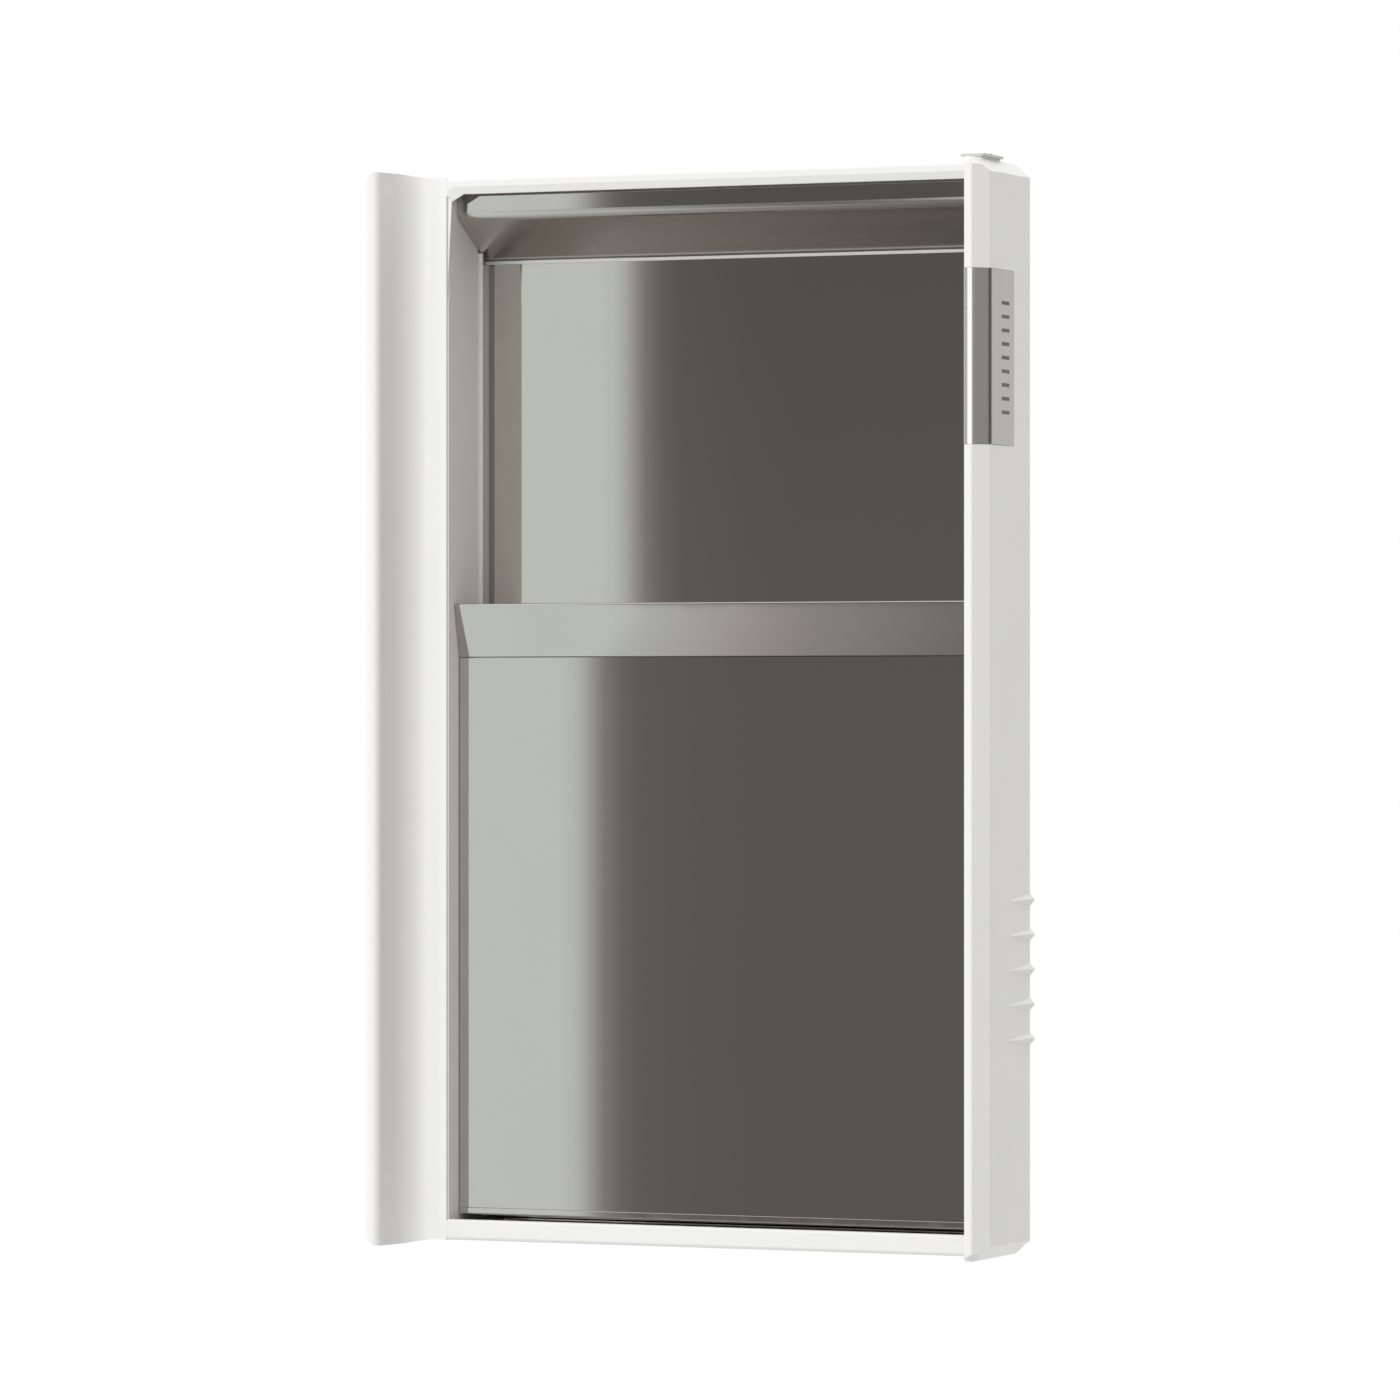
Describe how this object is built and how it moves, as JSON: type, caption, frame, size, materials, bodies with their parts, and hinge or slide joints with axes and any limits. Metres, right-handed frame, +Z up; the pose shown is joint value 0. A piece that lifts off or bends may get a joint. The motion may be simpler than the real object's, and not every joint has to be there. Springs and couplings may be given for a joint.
{
  "type": "medicine cabinet with mirror",
  "caption": "Tall wall cabinet with a white frame, an open mirror-backed niche above and a mirrored drop-down flap with a leaning pull lip closing the shelved compartment below.",
  "frame": {"origin": "centre of the four wall screw holes, on the wall plane", "axes": "+X to the viewer's right along the wall, +Y into the wall, +Z up; the cabinet's front faces -Y"},
  "size_m": [0.4028, 0.0995, 0.6634],
  "materials": {
    "shell_white": "smooth satin white moulding",
    "clip_steel": "satin",
    "dark_enamel": "enamel fill",
    "rail_white": "smooth satin white moulding",
    "trim_white": "gloss white trim",
    "liner_white": "satin white enamel on sheet steel",
    "polished_steel": "mirror polished stainless sheet",
    "satin_steel": "satin stainless sheet",
    "back_zinc": "galvanised sheet",
    "fastener_steel": "zinc plated",
    "stay_steel": "stamped, plated",
    "mirror_glass": "silvered glass",
    "black_rubber": "matte",
    "grey_foam": "closed-cell foam",
    "tape_foam": "foam",
    "nylon_white": "matte moulded",
    "ferrite": "sintered magnet"
  },
  "bodies": {
    "cabinet": {"wing_column": "shell_white", "grip_post": "shell_white", "top_rail": "rail_white", "bottom_rail": "rail_white", "mirror_trim": "trim_white", "top_cover_plate": "trim_white", "badge_clip": "clip_steel", "clip_inlay": "dark_enamel", "wall_left": "liner_white", "wall_right": "liner_white", "header_panel": "polished_steel", "niche_shelf": "polished_steel", "compartment_floor": "polished_steel", "inner_shelf_upper": "polished_steel", "inner_shelf_lower": "polished_steel", "niche_ceiling": "satin_steel", "back_panel": "back_zinc", "cover_plate_screw": "fastener_steel", "back_panel_screws": "fastener_steel", "frame_screws": "fastener_steel", "header_screws": "fastener_steel", "shelf_pins": "fastener_steel", "pivot_pin_left": "fastener_steel", "pivot_pin_right": "fastener_steel", "stay_pin_left": "fastener_steel", "stay_pin_right": "fastener_steel", "catch_rivets": "fastener_steel", "catch_pole_plates": "stay_steel", "niche_mirror": "mirror_glass", "wall_pads": "black_rubber", "flap_bumpers": "black_rubber", "mirror_gasket": "grey_foam", "mirror_backing": "tape_foam", "friction_washer_left": "nylon_white", "friction_washer_right": "nylon_white", "catch_housing": "nylon_white", "wall_spacers": "nylon_white", "catch_magnet": "ferrite"},
    "flap": {"flap_tray": "polished_steel", "flap_mirror": "mirror_glass", "mirror_tape": "tape_foam", "flap_side_left": "stay_steel", "flap_side_right": "stay_steel", "stay_plate_left": "stay_steel", "stay_plate_right": "stay_steel", "stay_rivets": "fastener_steel", "strike_plate": "stay_steel"}
  },
  "joints": [
    {"name": "flap_pivot", "type": "hinge", "parent": "cabinet", "child": "flap", "pos_m": [0.013, -0.0484, -0.1805], "axis": [1, 0, 0], "range_deg": [0, 75]}
  ]
}
